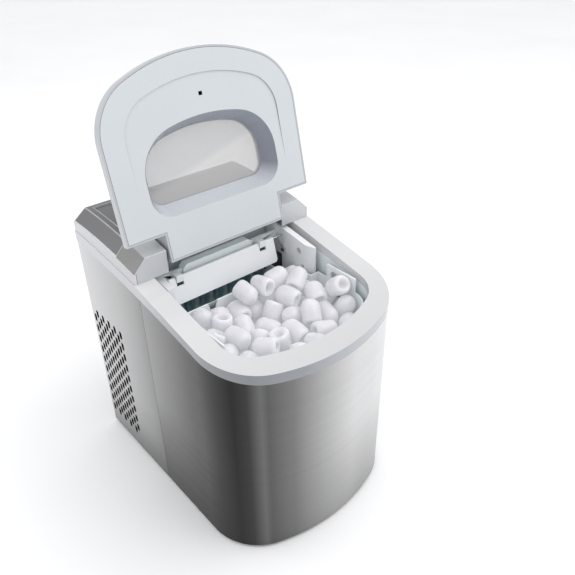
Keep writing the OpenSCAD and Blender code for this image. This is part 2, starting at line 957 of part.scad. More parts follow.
module fan_blade() {
    blades = 5;
    color(dark) translate([shroud_x + 3.5, fan_y, fan_z]) rotate([0, 90, 0]) difference() {
        union() {
            cylinder(r = 9, h = 9);
            for (i = [0 : blades - 1])
                rotate(i * 360 / blades)
                    translate([fan_r / 2 + 3, 0, 4.5])
                    rotate([28, 0, 0])
                    cube([fan_r - 9, 15, 1.2], center = true);
        }
        translate([0, 0, -1]) cylinder(r = shaft_r + run_gap, h = 20);
    }
}

module control_board() {
    color([0.1, 0.35, 0.2]) on_deck(0, panel_y) {
        translate([-55, -16, -15.6]) cube([110, 32, 1.6]);
        for (s = [-1, 1]) translate([s * button_x - 4, -4, -14]) cube([8, 8, 4.6]);
        for (sx = [-1, 1], sy = [-1, 1]) translate([sx * 51, sy * 12, -14]) cylinder(r = 2.5, h = 4);
    }
}

module power_inlet() {
    depth = 22;
    color(dark) {
        difference() {
            translate([inlet_x - inlet_w / 2 + 0.2, half_d - depth, inlet_z - inlet_h / 2 + 0.2])
                cube([inlet_w - 0.4, depth - 0.4, inlet_h - 0.4]);
            translate([inlet_x - 12.3, half_d - 18, inlet_z - 8.5]) cube([24.6, 30, 17]);
        }
        for (p = [[-7, -2], [7, -2], [0, 2]])
            translate([inlet_x + p.x - 1, half_d - 18.5, inlet_z + p.y - 2]) cube([2, 10.5, 4]);
    }
}

// Places a child on the drain's axis, with Z pointing out of the back
module on_drain(y) {
    translate([drain_x, y, drain_z]) rotate([-90, 0, 0]) children();
}

// Short socket behind the back panel, fed by a hose from the pump
module drain_spout() {
    socket_y = back_y - 18.2;
    color(dark) {
        difference() {
            on_drain(socket_y) cylinder(r = drain_r + 2.2, h = 18);
            on_drain(socket_y + 3) cylinder(r = drain_r + run_gap, h = 20);
        }
        tube([[pump_x, pump_y + 19.5, 52], [pump_x - 2, 100, 46], [drain_x, socket_y + 0.2, drain_z]], 3);
    }
}

module drain_plug() {
    color(dark) {
        on_drain(half_d - 12) cylinder(r = drain_r, h = 11.5);
        on_drain(half_d - 0.8) cylinder(r = drain_r + 2, h = 0.8);
    }
}

module panel_screws() {
    head_r = 3;
    head_t = 0.4;
    color(steel) at_panel_screws() {
        cylinder(r = head_r, h = head_t);
        cylinder(r = screw_r, h = 4);
    }
}

module ice_basket() {
    slot_w = 4;
    notch_w = 12;
    notch_h = 10;
    tab_w = 46;
    color(white) difference() {
        union() {
            translate([0, 0, basket_floor]) linear_extrude(basket_z - basket_floor) basket_outline();
            // Raised grips at both sides
            intersection() {
                translate([0, 0, basket_floor]) linear_extrude(handle_z - basket_floor) basket_outline();
                translate([-big / 2, handle_y - tab_w / 2, 0]) cube([big, tab_w, big]);
            }
        }
        translate([0, 0, basket_floor + basket_t]) linear_extrude(big) basket_outline(basket_t);
        // Grip slots
        for (s = [-1, 1])
            translate([s * basket_half_w - 10, handle_y, 249.5])
                rotate([90, 0, 90])
                linear_extrude(20)
                rotate(90)
                slot2d(14, 34);
        // Drain slots in the side walls
        for (s = [-1, 1], y = [-100, -84, -65, -46], z = [190, 220])
            translate([s * basket_half_w - 10, y, z])
                rotate([90, 0, 90])
                linear_extrude(20)
                slot2d(slot_w, 18);
        // Drain slots in the floor
        for (x = [-60 : 20 : 60], y = [-90 : 30 : -30])
            translate([x, y, basket_floor - 1]) linear_extrude(5) slot2d(slot_w, 20);
        // Notches in the rear edge
        for (x = [-41, 4, 49])
            translate([x, basket_rear + 5, basket_z - notch_h])
                rotate([90, 0, 0])
                linear_extrude(10)
                polygon([
                    [-notch_w / 2 + 2.5, 0],
                    [notch_w / 2 - 2.5, 0],
                    [notch_w / 2 + 1, notch_h + 1],
                    [-notch_w / 2 - 1, notch_h + 1]
                ]);
    }
}

// Stands for the finished ice in the basket
module ice_load() {
    color([0.95, 0.97, 1])
        translate([0, 0, basket_floor + basket_t])
        linear_extrude(ice_z - basket_floor - basket_t)
        basket_outline(basket_t + 0.2);
}

// Outline of the lid in its own frame; the tongue reaches down to Y = 0
module lid_outline(inset = 0, tongue = true) {
    d_shape(half_w - inset, lid_corner_r - inset, lid_bow_r - inset, lid_len - inset, tongue_len + inset);
    if (tongue)
        translate([-tongue_x + inset, inset])
            square([2 * (tongue_x - inset), tongue_len + 1]);
}

// Outline of the window, drawn larger by grow
module window_outline(grow = 0) {
    base_r = 13 + grow;
    hw = 72 + grow;
    low = 58 - grow;
    intersection() {
        d_shape(hw, 38 + grow, 178 + grow, 128.5 + grow, low + base_r);
        translate([-hw, low + base_r]) square([2 * hw, lid_len]);
    }
    for (s = [-1, 1]) translate([s * (hw - base_r), low + base_r]) circle(r = base_r, $fn = 64);
    translate([-hw + base_r, low]) square([2 * (hw - base_r), base_r + 1]);
}

module lid_plate(inset, z, t) {
    translate([0, 0, z]) linear_extrude(t) d_shape(
        half_w - inset,
        lid_corner_r - inset,
        lid_bow_r - inset,
        lid_len - inset,
        tongue_len + inset,
        $fn = 48
    );
}

// The lid's body with its bevelled edge, drawn smaller by inset on every side
module lid_block(inset = 0) {
    hull() {
        lid_plate(inset, -lid_edge, lid_edge - (inset > 0 ? -10 : 0));
        lid_plate(inset + lid_bevel, -lid_t + inset, 1);
    }
    translate([-tongue_x + inset, inset, -lid_t + inset])
        cube([2 * (tongue_x - inset), tongue_len + 30, lid_t + (inset > 0 ? 10 - inset : 0)]);
}

module lid_shell() {
    color(silver) in_lid() difference() {
        lid_block();
        lid_block(lid_skin);
        translate([0, 0, -lid_t - 1]) linear_extrude(lid_t + 2) window_outline();
        for (s = [-1, 1])
            translate([s > 0 ? tongue_x - 10 : -tongue_x - 10, hinge_s, -hinge_depth])
                rotate([0, 90, 0])
                cylinder(r = pin_r + 0.6, h = 20);
    }
}

module lid_liner() {
    plate_t = 2.5;
    recess = 1.2;
    fade_y = 66;
    fade_len = 60;
    gap = 0.3;
    color(white) in_lid() difference() {
        union() {
            translate([0, 0, -plate_t])
                linear_extrude(plate_t)
                lid_outline(lid_skin + gap);
            // Sloped wall of the window's well
            hull() {
                translate([0, 0, -1]) linear_extrude(1) window_outline(13);
                translate([0, 0, -well_depth]) linear_extrude(1) window_outline(4);
            }
        }
        hull() {
            translate([0, 0, -1]) linear_extrude(6) window_outline(11.3);
            translate([0, 0, -well_depth - 1]) linear_extrude(1) window_outline(1);
        }
        // Sunken field, a step deep along its edge and fading out towards the tongue
        difference() {
            translate([0, 0, -recess]) linear_extrude(recess + 1) d_shape(95, 44, 190, 180, fade_y);
            translate([-big / 2, fade_y, 0])
                rotate([-atan(recess / fade_len), 0, 0])
                translate([0, -5, -20])
                cube([big, big, 20]);
        }
        // Latch hole
        translate([-2, 158, -5]) cube([4.5, 4, 10]);
    }
}

module lid_window() {
    color([0.8, 0.85, 0.88, 0.35]) in_lid()
        translate([0, 0, -well_depth - 0.1 - pane_t])
        linear_extrude(pane_t)
        window_outline(4);
}

module lid_hinge_arms() {
    color(white) in_lid()
        for (s = [-1, 1])
            translate([s > 0 ? 61 : -74, 0, 0]) difference() {
                union() {
                    translate([0, hinge_s, -hinge_depth]) rotate([0, 90, 0]) cylinder(r = pin_r + 1.3, h = 13);
                    translate([0, hinge_s - 4, -hinge_depth]) cube([13, 8, hinge_depth - 2.5]);
                }
                translate([-1, hinge_s, -hinge_depth])
                    rotate([0, 90, 0])
                    cylinder(r = pin_r + run_gap, h = 15);
            }
}

module lid_screws() {
    color(steel) in_lid()
        for (s = [-1, 1], x = [90, 108])
            translate([s * x, tongue_len - 0.4, -5.5]) rotate([-90, 0, 0]) cylinder(r = 2, h = 7);
}

base_pan();
rubber_feet();
front_wrap();
side_panel_left();
side_panel_right();
back_panel();
top_rim();
rear_cover();
control_panel();
power_button();
size_button();
indicator_lenses();
hinge_post_left();
hinge_post_right();
hinge_pins();
bin_liner();
insulation();
side_bracket_left();
side_bracket_right();
bracket_screws();
evaporator();
evaporator_cover();
shovel_rod();
ice_shovel();
water_tray();
tray_motor();
tray_pivot();
ice_full_sensor();
water_pump();
water_hose();
compressor();
compressor_mounts();
refrigerant_pipes();
condenser();
fan_shroud();
fan_motor();
fan_blade();
control_board();
power_inlet();
drain_spout();
drain_plug();
panel_screws();
ice_basket();
ice_load();
lid_shell();
lid_liner();
lid_window();
lid_hinge_arms();
lid_screws();
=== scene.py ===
import json
import math

import bmesh
import bpy
import numpy as np
from mathutils import Matrix, Vector


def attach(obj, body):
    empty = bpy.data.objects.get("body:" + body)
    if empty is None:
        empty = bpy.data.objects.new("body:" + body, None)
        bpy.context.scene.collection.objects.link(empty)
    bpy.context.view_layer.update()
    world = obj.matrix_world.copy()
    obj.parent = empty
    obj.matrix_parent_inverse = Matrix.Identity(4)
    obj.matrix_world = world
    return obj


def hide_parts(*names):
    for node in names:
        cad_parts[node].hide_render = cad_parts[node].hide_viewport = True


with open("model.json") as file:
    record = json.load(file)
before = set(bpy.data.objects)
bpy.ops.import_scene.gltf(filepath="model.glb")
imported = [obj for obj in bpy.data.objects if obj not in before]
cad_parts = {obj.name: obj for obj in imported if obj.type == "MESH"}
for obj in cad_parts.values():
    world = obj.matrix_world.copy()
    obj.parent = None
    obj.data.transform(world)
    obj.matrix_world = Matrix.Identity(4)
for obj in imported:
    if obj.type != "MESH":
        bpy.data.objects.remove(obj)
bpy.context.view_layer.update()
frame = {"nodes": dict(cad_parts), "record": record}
nodes = frame["nodes"]
MM = 0.001
SKIN_DEPTH = 0.00012  # height of the fine grain on plastic and paint, in metres
BRUSH_DEPTH = 0.00004  # height of the brushed lines on metal, in metres
BRUSH_FINE = 1500  # lines per metre across the brushing
BRUSH_LONG = 4  # and along it

# ---------------------------------------------------------------- camera
scene = bpy.context.scene
yaw, pitch, roll = math.radians(40.28), math.radians(32.80), math.radians(-0.91)
camera_place_mm = Vector((-358.96, -501.53, 642.46))
forward = Vector((
    math.sin(yaw) * math.cos(pitch),
    math.cos(yaw) * math.cos(pitch),
    -math.sin(pitch),
))
right = Vector((math.cos(yaw), -math.sin(yaw), 0))
up = right.cross(forward)
cam_right = right * math.cos(roll) + up * math.sin(roll)
cam_up = up * math.cos(roll) - right * math.sin(roll)
camera = bpy.data.objects.new("camera", bpy.data.cameras.new("camera"))
scene.collection.objects.link(camera)
rotation = Matrix((cam_right, cam_up, -forward)).transposed().to_4x4()
camera.matrix_world = Matrix.Translation(camera_place_mm * MM) @ rotation
camera.data.lens = 39.8
camera.data.sensor_width = 36
camera.data.clip_start = 0.01
scene.camera = camera
scene.view_settings.view_transform = "Standard"


# ---------------------------------------------------------------- materials
class Nodes:
    """Short helper that builds one material's node tree."""

    def __init__(self, name):
        self.mat = bpy.data.materials.new(name)
        self.mat.use_nodes = True
        self.tree = self.mat.node_tree
        self.bsdf = self.tree.nodes["Principled BSDF"]
        self.coords = self.tree.nodes.new("ShaderNodeTexCoord").outputs["Object"]

    def link(self, a, b):
        self.tree.links.new(a, b)

    def scaled(self, scale):
        mapping = self.tree.nodes.new("ShaderNodeMapping")
        mapping.inputs["Scale"].default_value = scale
        self.link(self.coords, mapping.inputs["Vector"])
        return mapping.outputs["Vector"]

    def noise(self, vector, scale, detail=3.0, rough=0.55):
        n = self.tree.nodes.new("ShaderNodeTexNoise")
        n.inputs["Scale"].default_value = scale
        n.inputs["Detail"].default_value = detail
        n.inputs["Roughness"].default_value = rough
        self.link(vector, n.inputs["Vector"])
        return n.outputs["Fac"]

    def span(self, value, low, high, from_low=0.3, from_high=0.7):
        n = self.tree.nodes.new("ShaderNodeMapRange")
        n.inputs["From Min"].default_value = from_low
        n.inputs["From Max"].default_value = from_high
        n.inputs["To Min"].default_value = low
        n.inputs["To Max"].default_value = high
        self.link(value, n.inputs["Value"])
        return n.outputs["Result"]

    def ramp(self, value, stops):
        n = self.tree.nodes.new("ShaderNodeValToRGB")
        ramp = n.color_ramp
        ramp.elements[0].position, ramp.elements[0].color = stops[0][0], (*stops[0][1], 1)
        ramp.elements[1].position, ramp.elements[1].color = stops[-1][0], (*stops[-1][1], 1)
        for pos, color in stops[1:-1]:
            ramp.elements.new(pos).color = (*color, 1)
        self.link(value, n.inputs["Fac"])
        return n.outputs["Color"]

    def math(self, op, a, b):
        n = self.tree.nodes.new("ShaderNodeMath")
        n.operation = op
        for socket, v in zip(n.inputs, (a, b)):
            if isinstance(v, (int, float)):
                socket.default_value = v
            else:
                self.link(v, socket)
        return n.outputs["Value"]

    def multiply(self, a, b, factor=1.0):
        n = self.tree.nodes.new("ShaderNodeMix")
        n.data_type = "RGBA"
        n.blend_type = "MULTIPLY"
        if isinstance(factor, (int, float)):
            n.inputs["Factor"].default_value = factor
        else:
            self.link(factor, n.inputs["Factor"])
        if isinstance(a, tuple):
            n.inputs["A"].default_value = (*a, 1)
        else:
            self.link(a, n.inputs["A"])
        self.link(b, n.inputs["B"])
        return n.outputs["Result"]

    def parts(self, vector):
        """The X, Y and Z of a vector socket."""
        n = self.tree.nodes.new("ShaderNodeSeparateXYZ")
        self.link(vector, n.inputs[0])
        return n.outputs["X"], n.outputs["Y"], n.outputs["Z"]

    def dot(self, a, b):
        """The dot product of a vector socket with another, or with a fixed direction."""
        n = self.tree.nodes.new("ShaderNodeVectorMath")
        n.operation = "DOT_PRODUCT"
        self.link(a, n.inputs[0])
        if isinstance(b, tuple):
            n.inputs[1].default_value = b
        else:
            self.link(b, n.inputs[1])
        return n.outputs["Value"]

    def world_normal(self):
        return self.tree.nodes.new("ShaderNodeNewGeometry").outputs["Normal"]

    def bump(self, height, strength, distance):
        n = self.tree.nodes.new("ShaderNodeBump")
        n.inputs["Strength"].default_value = strength
        n.inputs["Distance"].default_value = distance
        self.link(height, n.inputs["Height"])
        self.link(n.outputs["Normal"], self.bsdf.inputs["Normal"])

    def set(self, **values):
        for key, v in values.items():
            socket = self.bsdf.inputs[key.replace("_", " ")]
            if hasattr(v, "is_linked") and not isinstance(v, (int, float, tuple)):
                self.link(v, socket)
            else:
                socket.default_value = v
        return self


def shade(color, k):
    return tuple(min(1.0, c * k) for c in color)


def moulded(name, color, rough=0.35, grain=0.12, grain_scale=1600, tone=0.05, coat=0.0, metallic=0.0):
    """Moulded plastic, rubber or paint: faint cloudy tone, fine surface grain and uneven gloss."""
    m = Nodes(name)
    cloud = m.noise(m.coords, 14, 4)
    fine = m.noise(m.coords, grain_scale, 2)
    mottle = m.math("ADD", cloud, m.math("MULTIPLY", fine, 0.3))
    m.set(
        Base_Color=m.ramp(cloud, [(0.3, shade(color, 1 - tone)), (0.7, shade(color, 1 + tone * 0.5))]),
        Roughness=m.span(mottle, rough * 0.88, rough * 1.15, 0.4, 0.9),
        Metallic=metallic,
        Coat_Weight=coat,
    )
    m.bump(fine, grain, SKIN_DEPTH)
    return m


def mixed_lines(m, lines, wide):
    """Fine brushed lines with broader ones among them."""
    return m.math("ADD", m.math("MULTIPLY", lines, 0.6), m.math("MULTIPLY", wide, 0.4))


def brushed(name, low, high, along="xy", rough=0.32):
    """Metal brushed along horizontal lines, or along Y or X on a flat top."""
    m = Nodes(name)
    squash = tuple(BRUSH_LONG if axis in along else BRUSH_FINE for axis in "xyz")
    lines = m.noise(m.scaled(squash), 1, 4, 0.7)
    wide = m.noise(m.scaled(tuple(v * 0.12 for v in squash)), 1, 3, 0.6)
    both = mixed_lines(m, lines, wide)
    m.set(
        Base_Color=m.ramp(both, [(0.32, low), (0.68, high)]),
        Roughness=m.span(both, rough * 0.8, rough * 1.3),
        Metallic=1.0,
    )
    m.bump(lines, 0.25, BRUSH_DEPTH)
    return m


def grey(v):
    return (v, v, v)


M = {}
M["dark_plastic"] = moulded("dark_plastic", (0.018, 0.018, 0.020), 0.5, 0.3, 900)
M["rubber"] = moulded("rubber", (0.012, 0.012, 0.012), 0.8, 0.5, 700)
# Painted shade: the condenser is near-black, darker than its bare metal, so it stands in for the shade
# behind the side vents.
M["condenser_black"] = moulded("condenser_black", (0.010, 0.010, 0.011), 0.5, 0.3, 900, 0.2)
M["panel_black"] = moulded("panel_black", (0.012, 0.012, 0.014), 0.14, 0.02, 1800, 0.1, coat=0.6)
M["button_silver"] = moulded("button_silver", (0.50, 0.50, 0.51), 0.3, 0.08, 2400, 0.03, metallic=0.7)
M["lens"] = moulded("lens", (0.10, 0.55, 0.22), 0.15, 0.02, 900, 0.1, coat=0.5)
M["pin_steel"] = brushed("pin_steel", grey(0.45), grey(0.62), "y", 0.25)
M["liner_teal"] = moulded("liner_teal", (0.80, 0.86, 0.87), 0.30, 0.03, 1800, 0.03)
M["foam"] = moulded("foam", (0.78, 0.72, 0.50), 0.9, 0.8, 500, 0.15)
M["bracket_white"] = moulded("bracket_white", (0.82, 0.835, 0.85), 0.32, 0.03, 1800, 0.02)
M["evap_metal"] = brushed("evap_metal", (0.30, 0.42, 0.46), (0.42, 0.56, 0.60), "x", 0.3)
M["hose_clear"] = moulded("hose_clear", (0.62, 0.68, 0.68), 0.25, 0.05, 500, 0.05)
M["compressor_black"] = moulded("compressor_black", (0.012, 0.012, 0.013), 0.25, 0.15, 500, 0.2, coat=0.4)
M["copper_pipe"] = brushed("copper_pipe", (0.42, 0.17, 0.08), (0.66, 0.30, 0.16), rough=0.3)
M["board_green"] = moulded("board_green", (0.02, 0.12, 0.05), 0.4, 0.2, 1200, 0.2)
M["basket_white"] = moulded("basket_white", (0.84, 0.87, 0.88), 0.28, 0.02, 1800, 0.02)
M["lid_silver"] = moulded("lid_silver", (0.50, 0.52, 0.54), 0.30, 0.05, 2400, 0.03, metallic=0.4)


def around(m, x, y):
    """A value that grows steadily round the body from its left rear to its right side."""
    turned = m.math("MULTIPLY", m.math("MAXIMUM", m.math("SUBTRACT", x, 0.06), 0.0), 2.0)
    return m.math("ADD", m.math("SUBTRACT", x, y), turned)


def near(m, value, centre, reach):
    """1 where value lies within reach of centre, falling to 0 just outside."""
    off = m.math("ABSOLUTE", m.math("SUBTRACT", value, centre), 0.0)
    return m.span(off, 1, 0, reach * 0.6, reach)


def lean_of_lid():
    """How far the open lid leans back, from the angle that closes it."""
    joints = {j["name"]: j for j in frame["record"]["behaviour"]["joints"]}
    return math.radians(abs(joints["lid_hinge"]["range_deg"][0]) - 90)


def facing_along(m, direction):
    """How far the surface turns towards a direction fixed to the piece, from -1 to 1."""
    return m.dot(m.tree.nodes.new("ShaderNodeTexCoord").outputs["Normal"], direction)


def lid_material():
    """White satin plastic; the walls round the window's well and along the step carry painted shade and
    light: darker and bluer where they face sideways or down, lighter where they face up.
    """
    m = Nodes("lid_white")
    lean = lean_of_lid()
    fine = m.noise(m.coords, 2200, 2)
    cloud = m.noise(m.coords, 14, 4)
    plane = m.ramp(cloud, [(0.3, (0.57, 0.60, 0.62)), (0.7, (0.585, 0.615, 0.635))])
    facing = facing_along(m, (0, -math.cos(lean), math.sin(lean)))
    upward = facing_along(m, (0, math.sin(lean), math.cos(lean)))
    # Painted shade and light on the walls: darker and bluer where they face sideways or down, lighter
    # where they face up.
    wall_painted_light_and_shade = m.ramp(m.span(upward, 0, 1, -1, 1), [
        (0.0, (0.57, 0.58, 0.66)), (0.5, (0.42, 0.43, 0.49)),
        (0.8, (0.84, 0.84, 0.88)), (1.0, (0.95, 0.95, 0.98)),
    ])
    # The painted wall shade is laid only on faces turned away from the lid's plane.
    colour = m.multiply(plane, wall_painted_light_and_shade, m.span(facing, 1, 0, 0.55, 0.93))
    m.set(Base_Color=colour, Roughness=m.span(fine, 0.24, 0.31), Coat_Weight=0.2)
    m.bump(fine, 0.02, SKIN_DEPTH)
    return m


def post_material():
    """Satin silver paint with painted shade: darker on the flank that turns to the left."""
    m = Nodes("post_silver")
    fine = m.noise(m.coords, 2600, 2)
    # Painted shade: faces that turn to the left get a much darker colour.
    turned = m.span(facing_along(m, (1, 0, 0)), 0, 1, -0.6, -0.1)
    tone = m.ramp(turned, [(0.0, grey(0.20)), (1.0, (0.56, 0.575, 0.59))])
    m.set(Base_Color=tone, Roughness=m.span(fine, 0.30, 0.38), Metallic=0.3)
    m.bump(fine, 0.05, SKIN_DEPTH)
    return m


def rim_material():
    """White gloss plastic with painted shade: its upright band is greyer than its top and darkest round
    the front-left corner, and its top is darker towards the front.
    """
    m = Nodes("rim_white")
    x, y, _ = m.parts(m.coords)
    normal_x, normal_y, normal_z = m.parts(m.world_normal())
    outward = m.math("ADD", m.math("MULTIPLY", x, normal_x), m.math("MULTIPLY", y, normal_y))
    inward = m.math("MULTIPLY", outward, -1.0)
    # Painted shade on the top: darker towards the front.
    top = m.ramp(m.span(y, 0, 1, -0.16, -0.06), [
        (0.0, (0.555, 0.555, 0.56)), (1.0, (0.635, 0.635, 0.64)),
    ])
    # Painted shade on the upright band: darkest round the front-left corner, lighter towards the left
    # rear and the right side.
    band = m.ramp(m.span(around(m, x, y), 0, 1, -0.28, 0.30), [
        (0.0, (0.52, 0.52, 0.54)), (0.25, (0.47, 0.47, 0.485)), (0.38, (0.27, 0.275, 0.29)),
        (0.55, (0.21, 0.22, 0.235)), (0.67, (0.26, 0.275, 0.295)), (0.75, (0.37, 0.39, 0.41)),
        (0.83, (0.44, 0.45, 0.47)), (1.0, (0.45, 0.46, 0.475)),
    ])
    mix = m.tree.nodes.new("ShaderNodeMix")
    mix.data_type = "RGBA"
    # The top and the inner walls take the lighter top colour, the outward faces the band's painted shade.
    facing_up = m.span(normal_z, 0, 1, 0.25, 0.8)
    m.link(m.math("MAXIMUM", facing_up, m.span(inward, 0, 1, 0.0, 0.02)), mix.inputs["Factor"])
    m.link(band, mix.inputs["A"])
    m.link(top, mix.inputs["B"])
    fine = m.noise(m.coords, 2200, 2)
    m.set(Base_Color=mix.outputs["Result"], Roughness=m.span(fine, 0.20, 0.28), Coat_Weight=0.3)
    m.bump(fine, 0.02, SKIN_DEPTH)
    return m


def deck_material():
    """Satin silver paint with a painted highlight: lighter along the rounded edges."""
    m = Nodes("deck_silver")
    rounded = m.tree.nodes.new("ShaderNodeBevel")
    rounded.inputs["Radius"].default_value = 0.0022
    flat = m.dot(rounded.outputs["Normal"], m.world_normal())
    fine = m.noise(m.coords, 2600, 2)
    # Painted highlight: where the rounded edge's normal turns away from the face's, the colour goes much
    # lighter.
    edge_highlight = m.ramp(flat, [(0.95, (0.66, 0.67, 0.68)), (0.997, (0.145, 0.145, 0.15))])
    m.set(Base_Color=edge_highlight, Roughness=m.span(fine, 0.32, 0.42), Metallic=0.35)
    m.bump(fine, 0.05, SKIN_DEPTH)
    return m


def side_material():
    """Grey painted sheet, finely grained, with painted shade: darker towards its front edge and towards
    the foot.
    """
    m = Nodes("side_steel")
    x, y, z = m.parts(m.coords)
    # Painted shade: darker towards the front edge.
    along = m.ramp(m.span(y, 0, 1, 0.16, 0.018), [
        (0.0, grey(0.66)), (0.35, grey(0.56)), (0.6, grey(0.49)), (0.85, grey(0.39)), (1.0, grey(0.30)),
    ])
    # Painted shade: darker towards the foot.
    foot = m.ramp(m.span(z, 0, 1, 0.0, 0.12), [
        (0.0, grey(0.42)), (0.25, grey(0.62)), (0.5, grey(0.85)), (0.85, grey(1.0)),
    ])
    lines = m.noise(m.scaled((BRUSH_LONG, BRUSH_LONG, BRUSH_FINE)), 1, 4, 0.7)
    grain = m.ramp(lines, [(0.3, grey(0.93)), (0.7, grey(1.0))])
    # The vents' walls lie just inside the outer skin and are painted near-black as painted shade; the
    # seam is a dark line
    inside = m.span(m.math("ABSOLUTE", x, 0.0), 0.012, 1, 0.12025, 0.12036)
    seam = m.span(near(m, y, 0.0178, 0.0006), 1, 0.35, 0, 1)
    skin = m.ramp(m.math("MINIMUM", inside, seam), [(0.0, grey(0)), (1.0, grey(1))])
    colour = m.multiply(m.multiply(along, foot), m.multiply(grain, skin))
    m.set(Base_Color=colour, Roughness=m.span(lines, 0.40, 0.52), Metallic=0.7)
    m.bump(lines, 0.05, BRUSH_DEPTH)
    return m


M["rim_white"] = rim_material()
M["deck_silver"] = deck_material()
M["post_silver"] = post_material()
M["lid_white"] = lid_material()
M["side_steel"] = side_material()


def wrap_material():
    """Brushed steel with painted reflection and shade in its colour: dark round the front-left corner
    with a painted highlight streak, bright on the front to the right, darker towards the foot and towards
    the rear of the right flank.
    """
    m = Nodes("brushed_wrap")
    x, y, z = m.parts(m.coords)
    place = m.span(around(m, x, y), 0.0, 1.0, -0.14, 0.24)
    # Painted reflection and shade round the body: dark round the front-left corner, a painted highlight
    # streak just past it, bright on the front to the right.
    tone = m.ramp(place, [
        (0.00, grey(0.37)), (0.10, grey(0.26)), (0.22, grey(0.135)), (0.33, grey(0.058)),
        (0.40, grey(0.026)), (0.455, grey(0.05)), (0.505, grey(0.155)), (0.53, grey(0.115)),
        (0.62, grey(0.205)), (0.72, grey(0.41)), (0.85, grey(0.70)), (1.0, grey(0.77)),
    ])
    lines = m.noise(m.scaled((BRUSH_LONG, BRUSH_LONG, BRUSH_FINE)), 1, 4, 0.7)
    wide = m.noise(m.scaled((1.5, 1.5, 160)), 1, 3, 0.6)
    both = mixed_lines(m, lines, wide)
    streak = m.ramp(both, [(0.32, grey(0.84)), (0.68, grey(1.0))])
    # Painted shade: darker towards the foot.
    foot = m.ramp(m.span(z, 0, 1, 0.0, 0.14), [
        (0.0, grey(0.22)), (0.25, grey(0.38)), (0.6, grey(0.66)), (1.0, grey(1.0)),
    ])
    # Where the painted foot shade is laid: full at the left rear, none round the front-left corner, part
    # on the front and right.
    reach = m.ramp(place, [
        (0.0, grey(1.0)), (0.28, grey(0.9)), (0.40, grey(0.0)), (0.6, grey(0.1)), (0.9, grey(0.6)),
    ])
    # Painted shade: the right flank darker towards its rear seam.
    fall = m.ramp(m.span(y, 0, 1, -0.10, 0.018), [(0.0, grey(1.0)), (1.0, grey(0.46))])
    flank = m.span(x, 0, 1, 0.112, 0.1195)
    colour = m.multiply(m.multiply(tone, m.multiply(grey(1.0), foot, reach)), fall, flank)
    m.set(Base_Color=m.multiply(colour, streak), Roughness=m.span(both, 0.30, 0.48), Metallic=0.9)
    m.bump(lines, 0.2, BRUSH_DEPTH)
    return m


M["brushed_wrap"] = wrap_material()


def clear_material():
    """Smoky clear pane that greys what is behind it, with a painted reflection: a little lighter towards
    one corner.
    """
    m = Nodes("lid_clear")
    x, _, z = m.parts(m.coords)
    reflection_slant = m.math("SUBTRACT", m.math("MULTIPLY", x, 0.25), m.math("SUBTRACT", z, 0.385))
    fine = m.noise(m.coords, 300, 2)
    m.set(
        # Painted reflection: the pane's colour is a little lighter on one side of a slanting line.
        Base_Color=m.ramp(m.span(reflection_slant, 0, 1, -0.004, 0.004), [
            (0.0, grey(0.47)), (1.0, (0.56, 0.555, 0.55)),
        ]),
        Roughness=m.span(fine, 0.04, 0.08),
        Alpha=0.5,
        Coat_Weight=0.5,
    )
    return m


M["lid_clear"] = clear_material()


def ice_material():
    """Milky ice, clearer at its skin, with soft clouds and small pits, and a faint painted glow that
    lifts the shade between the pieces.
    """
    m = Nodes("ice")
    cloud = m.noise(m.coords, 60, 4)
    pits = m.noise(m.coords, 420, 3)
    m.set(
        Base_Color=m.ramp(cloud, [(0.3, (0.53, 0.515, 0.53)), (0.7, (0.58, 0.565, 0.58))]),
        Roughness=m.span(pits, 0.22, 0.42),
        Subsurface_Weight=0.9,
        Subsurface_Radius=(0.02, 0.02, 0.022),
        Subsurface_Scale=1.0,
        # Painted light: a faint bluish glow, though ice gives no light, lifts the shade in the gaps
        # between the pieces.
        Emission_Color=(0.9, 0.94, 1.0, 1),
        Emission_Strength=0.17,
        IOR=1.31,
        Coat_Weight=0.4,
    )
    relief = m.math("ADD", m.math("MULTIPLY", cloud, 0.8), m.math("MULTIPLY", pits, 0.2))
    m.bump(relief, 0.25, 0.0008)
    return m


M["ice"] = ice_material()

slot_of = {s["node"]: s["material_slot"] for s in frame["record"]["subparts"]}
# Width in mm and segments of each softened node's rounded edges
bevels = {
    "top_rim": (2.6, 5), "rear_cover": (1.6, 3), "hinge_post_left": (1.2, 3),
    "hinge_post_right": (1.2, 3), "lid_shell": (1.0, 3), "lid_liner": (0.8, 3),
    "ice_basket": (0.7, 2), "bin_liner": (0.5, 2), "side_bracket_left": (1.2, 3),
    "side_bracket_right": (1.2, 3), "ice_shovel": (0.5, 2), "evaporator_cover": (0.8, 2),
    "control_panel": (0.3, 2), "power_button": (0.7, 3), "size_button": (0.7, 3),
    "rubber_feet": (0.8, 2), "base_pan": (0.5, 2), "drain_plug": (0.3, 2),
    "power_inlet": (0.5, 2), "lid_hinge_arms": (0.6, 2), "lid_window": (0.3, 2),
    "fan_blade": (0.3, 2), "water_tray": (0.4, 2), "compressor": (1.2, 3),
    "water_pump": (0.8, 2), "tray_motor": (0.6, 2), "fan_shroud": (0.4, 2),
}


def soften(obj, width, segments):
    """Welds the imported faces, rounds the sharp edges and shades the rest smooth."""
    weld = obj.modifiers.new("weld", "WELD")
    weld.merge_threshold = 0.01 * MM
    merge = obj.modifiers.new("merge", "DECIMATE")
    merge.decimate_type = "DISSOLVE"
    merge.angle_limit = math.radians(0.4)
    bevel = obj.modifiers.new("bevel", "BEVEL")
    bevel.width = width * MM
    bevel.segments = segments
    bevel.limit_method = "ANGLE"
    bevel.angle_limit = math.radians(32)
    normals = obj.modifiers.new("normals", "WEIGHTED_NORMAL")
    normals.mode = "FACE_AREA"
    normals.weight = 80
    for poly in obj.data.polygons:
        poly.use_smooth = True


